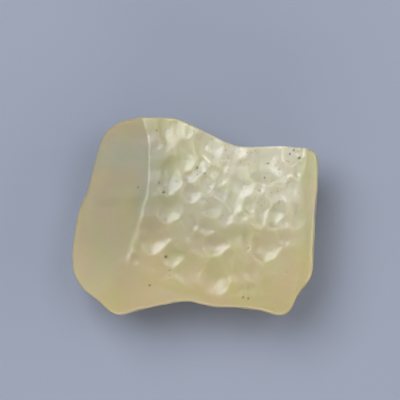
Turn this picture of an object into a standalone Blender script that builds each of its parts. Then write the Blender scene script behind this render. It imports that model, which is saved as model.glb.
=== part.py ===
"""A piece of Libyan desert glass: one natural stone, 43 mm wide, 34 mm deep and 16 mm thick.

It lies on the worn flat spot of its rounded underside. The broad upper face is scoured by sand into
shallow, overlapping bowls. A ridge parts it from one smooth broken face on the left, and soft
bevels run along its front and right edges. The sides and the underside carry broad shell-shaped
breaks with small dents over them.

The stone is made as a real one is shaped: a blank is cut to the outline, and its surface is then
worn back to a form that a few curves, slopes, bowls, scars and dents describe. Lengths are
millimetres, and only the meshes are in metres. +X runs along the longest side, +Y to the back edge
and +Z up, and the origin is on the resting surface under the middle of the stone.
"""

import random
from dataclasses import dataclass

import bmesh
import bpy
import numpy as np

MM = 0.001

# The outline seen from above, clockwise from the upper left corner.
OUTLINE = (
    (-15.75, 14.6), (-13.8, 16.1), (-11.4, 16.95), (-8.2, 17.1), (-5.8, 17.0), (-3.9, 16.9),
    (-2.3, 16.45), (-0.4, 15.6), (1.3, 14.75), (3.7, 13.55), (5.6, 12.65), (7.6, 12.05),
    (10.5, 11.95), (13.7, 12.1), (15.7, 12.05), (17.4, 11.85), (19.1, 11.8), (20.8, 11.1),
    (21.45, 9.6), (21.5, 7.1), (21.2, 3.0), (20.85, -3.3), (20.55, -9.3), (20.2, -10.6),
    (19.5, -11.8), (18.3, -13.4), (17.5, -14.6), (16.6, -16.3), (15.5, -17.2), (13.9, -17.35),
    (11.5, -16.7), (7.7, -16.15), (3.0, -15.95), (0.8, -15.4), (-1.2, -15.0), (-4.9, -15.4),
    (-10.5, -16.8), (-12.9, -17.35), (-14.6, -16.9), (-17.5, -14.5), (-19.5, -12.9),
    (-20.8, -11.1), (-21.5, -8.5), (-21.5, -5.9), (-21.15, -3.0), (-20.6, 0.3), (-19.85, 2.4),
    (-19.0, 4.1), (-18.3, 6.9), (-17.1, 11.4),
)
OUTLINE_STEPS = 4

# The upper face is a low crown that leans down to the right, so the stone is thickest at the ridge.
FACE_TOP = 15.5
CROWN_MIDDLE = (2.0, 1.0)
CROWN_FALL = (0.0022, 0.0028)
FACE_LEAN = (-0.045, 0.012)
SWELL = 0.06
BLANK_HEIGHT = 17.0

# The ridge as (y, x), and the smooth, slightly hollow face that falls away to its left.
RIDGE = (
    (-17.5, -16.0), (-12.0, -13.8), (-9.7, -13.0), (-8.0, -12.4), (-6.2, -11.7), (-4.7, -11.2),
    (-2.8, -10.55), (-0.7, -9.95), (1.4, -9.3), (3.5, -8.5), (5.4, -8.2), (8.0, -8.05),
    (11.4, -8.05), (13.5, -8.2), (15.4, -8.7), (16.8, -9.1), (17.5, -9.3),
)
LEFT_SLOPE = 0.70
LEFT_HOLLOW = 0.010
RIDGE_ROUNDING_BACK = 0.15
RIDGE_ROUNDING_FRONT = 1.05
RIDGE_SHARPENS = (-4.0, 6.0)

# The upper line of the front bevel as (x, y), and the start of the right bevel.
FRONT_LINE = (
    (-22.0, -10.5), (-16.0, -12.0), (-13.0, -12.2), (-10.0, -11.4), (-6.5, -10.8),
    (-4.8, -11.3), (-2.7, -12.0), (0.0, -12.6), (2.5, -13.5), (4.5, -14.2), (8.0, -14.4),
    (12.0, -15.0), (15.5, -15.6), (22.0, -16.8),
)
FRONT_SLOPE = 0.42
FRONT_ROUNDING = 0.6
FRONT_ROUNDING_LEFT = 2.2
FRONT_CORNER = (-14.0, -7.0)
RIGHT_LINE = 18.9
RIGHT_SLOPE = 0.55
RIGHT_ROUNDING = 0.8

# The sides are widest at the belt, which climbs to the upper face along the back edge.
BELT_HEIGHT = 7.0
BELT_CLIMB = 6.5
BELT_REACH = 8.5
SIDE_LEAN_UP = 0.15
SIDE_LEAN_DOWN = 5.0
SIDE_SWELL = 0.5
SIDE_ROUNDING = 0.4
BACK_EDGE_ROUNDING = 0.3
BACK_EDGE_Y = (4.0, 11.0)
BACK_EDGE_LEFT = (-12.0, -7.0)
BACK_EDGE_RIGHT = (17.5, 20.5)

# The underside is a low dome upside down, cut off where it rests.
DOME_REACH = (130.0, 75.0)
FLAT_DEPTH = 0.55
UNDER_ROUNDING = 3.0

# Small dents, placed by chance but the same each time, with the radius and depth that they span.
DENT_SEED = 11
DENTS_UNDER = 60
UNDER_DENT_RADIUS = (4.0, 9.0)
UNDER_DENT_DEPTH = (0.12, 0.35)
DENTS_ROUND = 40
ROUND_DENT_RADIUS = (2.5, 6.0)
ROUND_DENT_DEPTH = (0.10, 0.30)
ROUND_DENT_HEIGHT = (2.5, 6.0)
ROUND_DENT_LEAN = -0.6
DENT_ROUNDING = 0.12
FLAT_MARGIN = 1.5
EDGE_MARGIN = 1.5
SPACE_BEND = 0.16

COARSE_VOXEL = 0.8
FINE_VOXEL = 0.42
WEAR_ROUNDS = 6
PROBE = 0.02
LEAST_STEEPNESS = 0.25
MOST_TRIANGLES = 9400
SNAP = 0.02
WELD = 0.005

STONE_COLOUR = (0.52, 0.48, 0.27, 1.0)
STONE_ROUGHNESS = 0.35
STONE_IOR = 1.46
STONE_TRANSMISSION = 0.6


@dataclass(frozen=True)
class Bowl:
    """One scoured hollow in the upper face.

    It has a middle, half widths, a depth, the rounding of its rim and a turn in degrees. Its steeper
    side to the left is shorter than the right one by the last share.
    """

    x: float
    y: float
    half_x: float
    half_y: float
    depth: float
    rim: float
    turn: float = 0.0
    short: float = 1.0


BOWLS = (
    # Along the back edge, left to right
    Bowl(-4.9, 16.2, 4.3, 4.7, 0.45, 0.15, short=0.35),
    Bowl(-1.5, 14.7, 1.0, 1.4, 0.18, 0.05, short=0.8),
    Bowl(1.1, 14.0, 0.5, 0.7, 0.22, 0.05),
    Bowl(2.2, 13.3, 0.5, 0.7, 0.22, 0.05),
    Bowl(2.0, 12.3, 3.1, 3.1, 0.60, 0.12, short=0.75),
    Bowl(6.3, 12.1, 2.9, 2.6, 0.48, 0.12, short=0.7),
    Bowl(11.5, 9.3, 4.3, 4.1, 1.20, 0.18, short=0.65),
    Bowl(16.5, 10.9, 2.4, 2.2, 0.55, 0.12, short=0.8),
    Bowl(16.5, 10.9, 0.6, 0.6, 0.16, 0.05),
    Bowl(18.2, 11.1, 0.8, 1.6, 0.52, 0.08, turn=-15, short=0.7),
    Bowl(18.1, 8.8, 0.9, 1.9, 0.25, 0.10, short=0.8),
    # Behind the middle
    Bowl(-2.0, 10.0, 2.2, 3.5, 0.42, 0.12, short=0.7),
    Bowl(-1.3, 7.1, 1.9, 1.4, 0.25, 0.10, short=0.8),
    Bowl(0.6, 9.0, 1.7, 2.4, 0.45, 0.10, turn=-25, short=0.4),
    Bowl(5.1, 8.6, 0.7, 0.7, 0.10, 0.05),
    Bowl(2.9, 7.6, 2.4, 1.0, 0.22, 0.10, short=0.8),
    Bowl(2.0, 6.0, 1.4, 1.9, 0.32, 0.10, short=0.8),
    Bowl(4.2, 6.4, 1.2, 1.9, 0.32, 0.10, short=0.8),
    Bowl(-1.0, 4.0, 1.7, 1.6, 0.32, 0.10, short=0.7),
    Bowl(1.3, 2.9, 0.5, 0.5, 0.10, 0.05),
    Bowl(-4.4, 7.1, 2.2, 3.5, 0.50, 0.12, turn=-14, short=0.8),
    Bowl(-5.4, 5.0, 0.4, 0.9, 0.12, 0.05),
    Bowl(7.9, 6.9, 2.1, 3.1, 0.30, 0.10, short=0.6),
    Bowl(7.2, 6.4, 0.8, 0.9, 0.20, 0.08),
    Bowl(7.3, 5.2, 2.8, 2.2, 0.55, 0.10, short=0.7),
    Bowl(4.9, 3.8, 2.4, 1.7, 0.28, 0.12, short=0.8),
    Bowl(17.4, 7.6, 1.0, 1.4, 0.33, 0.10, short=0.8),
    Bowl(11.1, 5.0, 0.9, 1.2, 0.26, 0.10, short=0.8),
    Bowl(14.4, 5.4, 1.0, 1.0, 0.26, 0.10, short=0.8),
    Bowl(14.4, 3.8, 2.6, 1.7, 0.35, 0.10, turn=10, short=0.8),
    Bowl(16.2, 4.8, 1.4, 2.1, 0.36, 0.10, short=0.8),
    Bowl(14.8, 7.6, 2.2, 2.1, 0.38, 0.10),
    # Across the middle
    Bowl(-5.1, 1.2, 3.1, 2.4, 0.44, 0.12, turn=10, short=0.5),
    Bowl(3.0, 1.4, 2.1, 1.9, 0.32, 0.12, short=0.8),
    Bowl(5.1, 0.5, 1.6, 2.1, 0.28, 0.10, short=0.8),
    Bowl(6.5, 2.8, 1.9, 3.1, 0.50, 0.10, short=0.7),
    Bowl(7.0, 0.3, 0.7, 1.4, 0.18, 0.05),
    Bowl(7.5, -0.2, 1.4, 1.0, 0.26, 0.10, short=0.8),
    Bowl(9.4, 1.7, 1.4, 1.6, 0.44, 0.10),
    Bowl(11.5, 1.0, 1.6, 2.6, 0.40, 0.10, short=0.8),
    Bowl(13.7, 0.5, 1.9, 2.8, 0.80, 0.12, turn=-20, short=0.6),
    Bowl(14.8, -0.9, 1.6, 1.6, 0.33, 0.12, short=0.8),
    Bowl(17.5, 0.2, 1.6, 2.2, 0.36, 0.12, short=0.8),
    Bowl(-0.4, -1.2, 1.0, 1.6, 0.22, 0.10, short=0.8),
    Bowl(-0.8, -2.8, 0.7, 2.1, 0.15, 0.05),
    Bowl(1.6, -2.1, 1.9, 1.6, 0.32, 0.10, turn=25, short=0.7),
    # Before the middle
    Bowl(-7.5, -3.5, 3.1, 3.3, 0.55, 0.12, turn=15, short=0.7),
    Bowl(7.7, -3.5, 4.8, 1.7, 0.17, 0.08),
    Bowl(0.6, -4.7, 2.4, 2.4, 0.24, 0.15, short=0.8),
    Bowl(3.2, -4.8, 2.6, 2.1, 0.50, 0.10, short=0.8),
    Bowl(8.7, -4.1, 1.2, 2.2, 0.50, 0.10, short=0.8),
    Bowl(11.5, -5.2, 3.3, 2.8, 0.65, 0.10, turn=10, short=0.7),
    Bowl(15.1, -3.5, 1.7, 1.7, 0.24, 0.14, turn=20, short=0.8),
    Bowl(-4.1, -6.9, 2.9, 2.2, 0.52, 0.12, short=0.6),
    # Along the front bevel, left to right
    Bowl(-10.6, -7.4, 0.9, 1.0, 0.14, 0.05),
    Bowl(-12.9, -9.0, 0.8, 1.0, 0.12, 0.05),
    Bowl(-5.8, -9.3, 2.8, 1.9, 0.26, 0.14, short=0.8),
    Bowl(-2.7, -9.7, 1.9, 1.6, 0.22, 0.14, short=0.8),
    Bowl(-1.5, -9.5, 3.1, 3.1, 0.42, 0.12, short=0.8),
    Bowl(3.2, -10.7, 2.8, 3.5, 0.72, 0.14, short=0.8),
    Bowl(5.6, -8.6, 1.6, 2.8, 0.34, 0.10, short=0.8),
    Bowl(7.3, -9.3, 1.6, 2.1, 0.28, 0.12, short=0.8),
    Bowl(9.4, -9.7, 1.6, 1.7, 0.24, 0.12, short=0.8),
    Bowl(8.0, -12.8, 0.9, 1.2, 0.18, 0.05),
    Bowl(9.6, -12.8, 0.9, 1.2, 0.18, 0.05),
    Bowl(12.2, -12.6, 2.4, 2.4, 0.18, 0.08),
)


@dataclass(frozen=True)
class Scar:
    """A broad shell-shaped break: a point near it, the way it faces, and the size of its ball."""

    point: tuple[float, float, float]
    facing: tuple[float, float, float]
    radius: float
    depth: float


SCARS = (
    Scar((-9.5, -14.6, 4.6), (-0.25, -0.80, -0.55), 15.0, 1.4),
    Scar((3.5, -13.6, 3.6), (0.05, -0.70, -0.70), 11.0, 1.0),
    Scar((13.0, -14.2, 4.4), (0.35, -0.75, -0.55), 12.0, 1.2),
    Scar((19.4, -3.5, 4.4), (0.80, -0.10, -0.60), 16.0, 1.3),
    Scar((18.6, 7.6, 5.0), (0.75, 0.45, -0.50), 10.0, 1.0),
    Scar((10.0, 11.0, 6.6), (0.05, 0.93, -0.36), 12.0, 1.1),
    Scar((1.0, 13.0, 6.0), (0.35, 0.86, -0.36), 10.0, 0.9),
    Scar((-8.0, 15.8, 5.6), (-0.15, 0.90, -0.40), 13.0, 1.2),
    Scar((-16.4, 9.0, 4.2), (-0.75, 0.40, -0.52), 12.0, 1.1),
    Scar((-19.6, -4.5, 3.8), (-0.76, -0.05, -0.65), 15.0, 1.3),
    Scar((-13.0, 3.0, 1.0), (-0.25, 0.05, -0.96), 18.0, 0.9),
    Scar((12.5, 2.5, 0.8), (0.22, 0.08, -0.97), 20.0, 0.9),
    Scar((2.0, -10.5, 1.1), (0.03, -0.32, -0.95), 15.0, 0.8),
    Scar((-9.0, -8.5, 1.3), (-0.20, -0.28, -0.94), 12.0, 0.7),
    Scar((5.0, 9.0, 1.0), (0.06, 0.28, -0.96), 13.0, 0.7),
)
SCAR_ROUNDING = 0.5


@dataclass(frozen=True)
class Ball:
    """A hollow in the sides or the underside, as the ball that would press it, and its rim rounding."""

    middle: np.ndarray
    radius: float
    rim: float


def smooth_max(first, second, width):
    """The larger of two values, with the corner between them rounded over a width."""
    return np.maximum(first, second) + np.maximum(width - np.abs(first - second), 0.0) ** 2 / (4 * width)


def smooth_min(first, second, width):
    """The smaller of two values, with the corner between them rounded over a width."""
    return -smooth_max(-first, -second, width)


def smooth_step(low, high, value):
    """0 below low, 1 above high and an even curve between them."""
    share = np.clip((value - low) / (high - low), 0.0, 1.0)
    return share * share * (3.0 - 2.0 * share)


def smooth_line(points, at):
    """The value, at some places, of a smooth curve through pairs of a place and a value."""
    places, values = np.transpose(points)
    slopes = np.gradient(values, places)
    at = np.clip(at, places[0], places[-1])
    i = np.clip(np.searchsorted(places, at, side="right") - 1, 0, len(places) - 2)
    span = places[i + 1] - places[i]
    t = (at - places[i]) / span
    start = (1 + 2 * t) * (1 - t) ** 2 * values[i] + t * (1 - t) ** 2 * span * slopes[i]
    end = t * t * (3 - 2 * t) * values[i + 1] - t * t * (1 - t) * span * slopes[i + 1]
    return start + end


def closed_curve(points, steps):
    """A smooth closed curve through the points, as centripetal Catmull-Rom arcs of a few steps each."""
    knots = np.array(points)
    count = len(knots)
    curve = []
    for i in range(count):
        before, start, end, after = (knots[(i + k) % count] for k in (-1, 0, 1, 2))
        t1 = np.linalg.norm(start - before) ** 0.5
        t2 = t1 + np.linalg.norm(end - start) ** 0.5
        t3 = t2 + np.linalg.norm(after - end) ** 0.5
        for t in np.linspace(t1, t2, steps, endpoint=False):
            a1 = before + (start - before) * t / t1
            a2 = start + (end - start) * (t - t1) / (t2 - t1)
            a3 = end + (after - end) * (t - t2) / (t3 - t2)
            b1 = a1 + (a2 - a1) * t / t2
            b2 = a2 + (a3 - a2) * (t - t1) / (t3 - t1)
            curve.append(b1 + (b2 - b1) * (t - t1) / (t2 - t1))
    return np.array(curve)


def edge_distance(x, y, ring):
    """How far each point lies outside the outline, negative inside it."""
    nearest = np.full(x.shape, np.inf)
    inside = np.zeros(x.shape, dtype=bool)
    for (ax, ay), (bx, by) in zip(ring, np.roll(ring, -1, axis=0)):
        dx, dy = bx - ax, by - ay
        along = np.clip(((x - ax) * dx + (y - ay) * dy) / (dx * dx + dy * dy), 0.0, 1.0)
        nearest = np.minimum(nearest, np.hypot(x - ax - along * dx, y - ay - along * dy))
        if dy:
            inside ^= ((ay > y) != (by > y)) & (x < ax + (y - ay) * dx / dy)
    return np.where(inside, -nearest, nearest)


def bent_plan(x, y):
    """The plan with a slight bend in it, so that no bowl is a true ellipse."""
    bent_x = x + 0.13 * np.sin(1.15 * y + 0.6 * x + 0.7) + 0.07 * np.sin(2.3 * y - 1.1 * x + 2.1)
    bent_y = y + 0.13 * np.sin(1.05 * x - 0.5 * y + 1.9) + 0.07 * np.sin(2.1 * x + 1.3 * y + 0.4)
    return bent_x, bent_y


def bent_space(points):
    """The same slight bend in all three directions, so that no scar or dent has a true round rim."""
    x, y, z = points.T
    bend = np.stack(
        (
            np.sin(0.71 * y + 1.13 * z + 0.3) + 0.4 * np.sin(1.9 * z - 1.3 * y),
            np.sin(0.83 * z + 0.97 * x + 1.6) + 0.4 * np.sin(2.1 * x + 1.1 * z),
            np.sin(0.77 * x - 0.89 * y + 2.2) + 0.4 * np.sin(1.7 * y + 1.5 * x),
        ),
        axis=1,
    )
    return points + SPACE_BEND * bend


def swell(x, y):
    """A gentle rise and fall, between about 1 and -1, a few millimetres from crest to crest."""
    long_waves = np.sin(0.62 * x + 0.35 * y + 0.5) * np.sin(0.50 * y - 0.28 * x + 1.2)
    short_waves = np.sin(1.3 * x - 0.9 * y) * np.sin(1.1 * y + 0.7 * x + 2.0)
    return long_waves + 0.5 * short_waves


def bowl_depth(x, y):
    """How deep the bowls are scoured at each point. Where two meet, the deeper one wins."""
    x, y = bent_plan(x, y)
    depth = np.zeros(x.shape)
    for bowl in BOWLS:
        cos, sin = np.cos(np.radians(bowl.turn)), np.sin(np.radians(bowl.turn))
        along = (x - bowl.x) * cos + (y - bowl.y) * sin
        u = along / np.where(along < 0.0, bowl.half_x * bowl.short, bowl.half_x)
        v = ((y - bowl.y) * cos - (x - bowl.x) * sin) / bowl.half_y
        depth = smooth_max(depth, bowl.depth * (1.0 - u * u - v * v), bowl.rim)
    return depth


def crown_height(x, y):
    """The height of the upper face before the bowls: a leaning crown."""
    lean = FACE_LEAN[0] * (x - CROWN_MIDDLE[0]) + FACE_LEAN[1] * (y - CROWN_MIDDLE[1])
    fall = CROWN_FALL[0] * (x - CROWN_MIDDLE[0]) ** 2 + CROWN_FALL[1] * (y - CROWN_MIDDLE[1]) ** 2
    return FACE_TOP + lean - fall


def face_height(x, y):
    """The height of the upper surface: the scoured crown, the left face and the two bevels."""
    waves = SWELL * swell(x, y)
    scoured = crown_height(x, y) + waves - bowl_depth(x, y)
    ridge = smooth_line(RIDGE, y)
    run = ridge - x
    left = crown_height(ridge, y) - LEFT_SLOPE * run + LEFT_HOLLOW * np.maximum(run, 0.0) ** 2 + waves / 2
    towards_back = smooth_step(*RIDGE_SHARPENS, y)
    rounding = RIDGE_ROUNDING_FRONT + (RIDGE_ROUNDING_BACK - RIDGE_ROUNDING_FRONT) * towards_back
    line = smooth_line(FRONT_LINE, x)
    front = crown_height(x, line) - FRONT_SLOPE * (line - y) + waves / 2
    right = crown_height(RIGHT_LINE, y) - RIGHT_SLOPE * (x - RIGHT_LINE)
    at_left = 1.0 - smooth_step(*FRONT_CORNER, x)
    front_rounding = FRONT_ROUNDING + (FRONT_ROUNDING_LEFT - FRONT_ROUNDING) * at_left
    height = smooth_min(scoured, left, rounding)
    height = smooth_min(height, front, front_rounding)
    return smooth_min(height, right, RIGHT_ROUNDING)


def under_height(x, y):
    """The height of the underside: flat where the stone rests, rising gently all round."""
    return np.maximum(x * x / DOME_REACH[0] + y * y / DOME_REACH[1] - FLAT_DEPTH, 0.0)


def back_edge_share(x, y):
    """1 along the scoured back edge, falling to 0 towards the other sides."""
    between = smooth_step(*BACK_EDGE_LEFT, x) * (1.0 - smooth_step(*BACK_EDGE_RIGHT, x))
    return smooth_step(*BACK_EDGE_Y, y) * between


def stone_distance(points, ring, balls):
    """How far each point lies outside the stone, negative inside it. Its zero is the surface."""
    x, y, z = points.T
    share = back_edge_share(x, y)
    belt = BELT_HEIGHT + BELT_CLIMB * share
    above = np.maximum(z - belt, 0.0) / BELT_REACH
    below = np.maximum(belt - z, 0.0) / belt
    waves = SIDE_SWELL * (1.5 + swell(x + z, y - z)) / 3 * (above + below)
    side = edge_distance(x, y, ring) + SIDE_LEAN_UP * above**2 + SIDE_LEAN_DOWN * below**2 + waves
    rounding = SIDE_ROUNDING + (BACK_EDGE_ROUNDING - SIDE_ROUNDING) * share
    body = smooth_max(side, z - face_height(x, y), rounding)
    body = smooth_max(body, under_height(x, y) - z, UNDER_ROUNDING)
    bent = bent_space(points)
    for ball in balls:
        pressed = ball.radius - np.linalg.norm(bent - ball.middle, axis=1)
        body = smooth_max(body, pressed, ball.rim)
    return np.maximum(body, -z)


def pressed_ball(point, facing, radius, depth, rim):
    """The ball that leaves a hollow of this depth at a point of the surface."""
    outward = np.array(facing) / np.linalg.norm(facing)
    return Ball(np.array(point) + outward * (radius - depth), radius, rim)


def scars():
    """The broad breaks of the sides and the underside."""
    return [pressed_ball(scar.point, scar.facing, scar.radius, scar.depth, SCAR_ROUNDING) for scar in SCARS]


def under_dents(chance, ring):
    """Small dents on the underside, clear of the flat spot."""
    dents = []
    while len(dents) < DENTS_UNDER:
        x, y = chance.uniform(-20.0, 20.0), chance.uniform(-16.0, 16.0)
        rise = x * x / DOME_REACH[0] + y * y / DOME_REACH[1]
        past_edge = edge_distance(np.array([x]), np.array([y]), ring)[0]
        if rise < FLAT_DEPTH * FLAT_MARGIN or past_edge > -EDGE_MARGIN:
            continue
        facing = (2 * x / DOME_REACH[0], 2 * y / DOME_REACH[1], -1.0)
        radius, depth = chance.uniform(*UNDER_DENT_RADIUS), chance.uniform(*UNDER_DENT_DEPTH)
        dents.append(pressed_ball((x, y, rise - FLAT_DEPTH), facing, radius, depth, DENT_ROUNDING))
    return dents


def round_dents(chance, ring):
    """Small dents round the lower sides."""
    ahead = np.roll(ring, -1, axis=0) - np.roll(ring, 1, axis=0)
    dents = []
    for _ in range(DENTS_ROUND):
        i = chance.randrange(len(ring))
        height = chance.uniform(*ROUND_DENT_HEIGHT)
        lean = SIDE_LEAN_DOWN * ((BELT_HEIGHT - height) / BELT_HEIGHT) ** 2
        outward = np.array([-ahead[i][1], ahead[i][0]]) / np.linalg.norm(ahead[i])
        x, y = ring[i] - outward * lean
        radius, depth = chance.uniform(*ROUND_DENT_RADIUS), chance.uniform(*ROUND_DENT_DEPTH)
        facing = (outward[0], outward[1], ROUND_DENT_LEAN)
        dents.append(pressed_ball((x, y, height), facing, radius, depth, DENT_ROUNDING))
    return dents


def cut_blank(ring, collection):
    """The blank: the outline as a filled curve, extruded to the stone's height and made a mesh."""
    data = bpy.data.curves.new("blank_outline", "CURVE")
    data.dimensions = "2D"
    data.fill_mode = "BOTH"
    data.extrude = BLANK_HEIGHT / 2 * MM
    spline = data.splines.new("POLY")
    spline.points.add(len(ring) - 1)
    for point, (x, y) in zip(spline.points, ring):
        point.co = (x * MM, y * MM, 0.0, 1.0)
    spline.use_cyclic_u = True
    outline = bpy.data.objects.new("blank_outline", data)
    collection.objects.link(outline)
    outline.location.z = BLANK_HEIGHT / 2 * MM
    bpy.context.view_layer.update()
    evaluated = outline.evaluated_get(bpy.context.evaluated_depsgraph_get())
    mesh = bpy.data.meshes.new_from_object(evaluated)
    mesh.transform(outline.matrix_world)
    bpy.data.objects.remove(outline)
    bm = bmesh.new()
    bm.from_mesh(mesh)
    bmesh.ops.remove_doubles(bm, verts=bm.verts, dist=WELD * MM)
    bmesh.ops.recalc_face_normals(bm, faces=bm.faces)
    bm.to_mesh(mesh)
    bm.free()
    stone = bpy.data.objects.new("desert_glass", mesh)
    collection.objects.link(stone)
    return stone


def apply_modifiers(stone):
    """Replaces the stone's mesh by the one its modifiers make of it."""
    evaluated = stone.evaluated_get(bpy.context.evaluated_depsgraph_get())
    finished = bpy.data.meshes.new_from_object(evaluated)
    rough = stone.data
    stone.modifiers.clear()
    stone.data = finished
    bpy.data.meshes.remove(rough)


def remesh(stone, voxel):
    """Covers the stone evenly with faces of one size."""
    modifier = stone.modifiers.new("even_faces", "REMESH")
    modifier.mode = "VOXEL"
    modifier.voxel_size = voxel * MM
    apply_modifiers(stone)


def wear(stone, ring, balls):
    """Moves every vertex along the steepest way until it lies on the stone's surface."""
    mesh = stone.data
    flat = np.empty(3 * len(mesh.vertices), dtype=np.float32)
    mesh.vertices.foreach_get("co", flat)
    points = flat.reshape(-1, 3).astype(float) / MM
    for _ in range(WEAR_ROUNDS):
        slope = np.empty_like(points)
        for axis in range(3):
            shift = np.zeros(3)
            shift[axis] = PROBE
            ahead = stone_distance(points + shift, ring, balls)
            behind = stone_distance(points - shift, ring, balls)
            slope[:, axis] = (ahead - behind) / (2 * PROBE)
        steepness = np.maximum((slope**2).sum(axis=1), LEAST_STEEPNESS)
        points -= slope * (stone_distance(points, ring, balls) / steepness)[:, None]
    mesh.vertices.foreach_set("co", (points * MM).astype(np.float32).ravel())
    mesh.update()


def thin_faces(stone):
    """Keeps the faces that carry the form, within the triangle budget."""
    triangles = sum(len(face.vertices) - 2 for face in stone.data.polygons)
    modifier = stone.modifiers.new("fewer_faces", "DECIMATE")
    modifier.ratio = min(1.0, MOST_TRIANGLES / triangles)
    apply_modifiers(stone)


def level_flat_spot(stone):
    """Sets the vertices of the resting spot exactly on the ground and triangulates the skin."""
    bm = bmesh.new()
    bm.from_mesh(stone.data)
    for vertex in bm.verts:
        if vertex.co.z < SNAP * MM:
            vertex.co.z = 0.0
    bmesh.ops.dissolve_degenerate(bm, edges=bm.edges, dist=WELD * MM)
    bmesh.ops.triangulate(bm, faces=bm.faces)
    bmesh.ops.recalc_face_normals(bm, faces=bm.faces)
    bm.to_mesh(stone.data)
    bm.free()


def glass_material():
    """Pale yellow natural glass with a sand-frosted skin."""
    material = bpy.data.materials.new("desert_glass")
    material.use_nodes = True
    shader = material.node_tree.nodes["Principled BSDF"]
    shader.inputs["Base Color"].default_value = STONE_COLOUR
    shader.inputs["Roughness"].default_value = STONE_ROUGHNESS
    shader.inputs["Metallic"].default_value = 0.0
    shader.inputs["IOR"].default_value = STONE_IOR
    shader.inputs["Transmission Weight"].default_value = STONE_TRANSMISSION
    return material


def main():
    """Clears the scene and makes the stone."""
    for leftover in list(bpy.data.objects):
        bpy.data.objects.remove(leftover)
    collection = bpy.data.collections.new("libyan_desert_glass")
    bpy.context.scene.collection.children.link(collection)
    ring = closed_curve(OUTLINE, OUTLINE_STEPS)
    chance = random.Random(DENT_SEED)
    balls = scars() + under_dents(chance, ring) + round_dents(chance, ring)
    stone = cut_blank(ring, collection)
    for voxel in (COARSE_VOXEL, FINE_VOXEL):
        remesh(stone, voxel)
        wear(stone, ring, balls)
    thin_faces(stone)
    level_flat_spot(stone)
    stone.data.shade_smooth()
    stone.data.materials.append(glass_material())


main()
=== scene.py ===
"""The finished look of one piece of Libyan desert glass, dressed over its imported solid.

The stone's skin is made again, finer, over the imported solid: the same outline, slopes, bowls,
scars and dents, with the dimples, pin-point pits, grit holes and grain that only a fine skin can
hold. The glass is milky and see-through, under a sand-frosted skin. The form's lengths are in
millimetres, and only the meshes, lights and camera are in metres. +X runs along the longest side,
+Y to the back edge and +Z up.
"""

import logging
import math
import random
from dataclasses import dataclass, field
from enum import Enum

import bmesh
import bpy
import numpy as np
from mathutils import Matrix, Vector


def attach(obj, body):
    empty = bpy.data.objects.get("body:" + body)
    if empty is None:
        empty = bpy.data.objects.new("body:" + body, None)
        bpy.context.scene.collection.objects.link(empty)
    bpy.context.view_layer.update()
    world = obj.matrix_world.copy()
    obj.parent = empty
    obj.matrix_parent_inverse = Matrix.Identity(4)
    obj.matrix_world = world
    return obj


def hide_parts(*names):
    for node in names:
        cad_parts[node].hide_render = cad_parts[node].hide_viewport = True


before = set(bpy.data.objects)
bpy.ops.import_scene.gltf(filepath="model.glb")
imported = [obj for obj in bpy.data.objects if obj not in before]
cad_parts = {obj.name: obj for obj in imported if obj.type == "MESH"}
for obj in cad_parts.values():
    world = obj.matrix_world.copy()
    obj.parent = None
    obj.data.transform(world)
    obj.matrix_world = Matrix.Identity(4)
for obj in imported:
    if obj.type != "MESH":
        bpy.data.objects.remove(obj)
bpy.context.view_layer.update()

LOG = logging.getLogger("desert_glass")
MM = 0.001
NODE = "desert_glass"
BODY = "root"

# The farthest that swell() goes either way, and how far the bent plan can carry a hollow's edge
SWELL_MOST = 1.5
BEND_MARGIN = 0.4

Colour = tuple[float, float, float, float]
Place = tuple[float, float, float]
Span = tuple[float, float]
Array = np.ndarray
Socket = bpy.types.NodeSocket


class Mask(Enum):
    """The masks that the skin carries at its points, by their names there."""

    SCOURED = "scoured"
    # Partly the glass's own warm tint, partly painted warm bounce light to the front and lower left
    WARM = "warm"
    # Painted shade on the left face, with a painted cool grey reflection towards the back
    LEFT_SHADE = "clear"
    # Sand frosting and a painted pale sheen, which whiten the scoured face
    FROST_AND_SHEEN = "frost_and_sheen"
    GRIT = "grit"


def smooth_max(first: Array, second: Array, width: float) -> Array:
    """The larger of two values, with the corner between them rounded over a width."""
    return np.maximum(first, second) + np.maximum(width - np.abs(first - second), 0.0) ** 2 / (4 * width)


def smooth_min(first: Array, second: Array, width: float) -> Array:
    """The smaller of two values, with the corner between them rounded over a width."""
    return -smooth_max(-first, -second, width)


def smooth_step(low: float, high: float, value: Array) -> Array:
    """0 below low, 1 above high and an even curve between them."""
    share = np.clip((value - low) / (high - low), 0.0, 1.0)
    return share * share * (3.0 - 2.0 * share)


def blend(share: Array, first: object, second: object) -> Array:
    """The first value where the share is 0, the second where it is 1, and evenly between them."""
    return first + (second - first) * share


def srgb(red: int, green: int, blue: int) -> Colour:
    """A colour given as 0 to 255 screen values, as the linear values that shaders take."""
    linear = []
    for value in (red, green, blue):
        share = value / 255
        linear.append(share / 12.92 if share <= 0.04045 else ((share + 0.055) / 1.055) ** 2.4)
    return (*linear, 1.0)


def smooth_line(points: tuple[Span, ...], at: Array) -> Array:
    """A smooth curve through a few points.

    Args:
        points: Pairs of a place and the value there, in rising order of place.
        at: The places where the curve is wanted.

    Returns:
        The curve's value at each of them.
    """
    places, values = np.transpose(points)
    slopes = np.gradient(values, places)
    at = np.clip(at, places[0], places[-1])
    i = np.clip(np.searchsorted(places, at, side="right") - 1, 0, len(places) - 2)
    span = places[i + 1] - places[i]
    t = (at - places[i]) / span
    start = (1 + 2 * t) * (1 - t) ** 2 * values[i] + t * (1 - t) ** 2 * span * slopes[i]
    end = t * t * (3 - 2 * t) * values[i + 1] - t * t * (1 - t) * span * slopes[i + 1]
    return start + end


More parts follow.
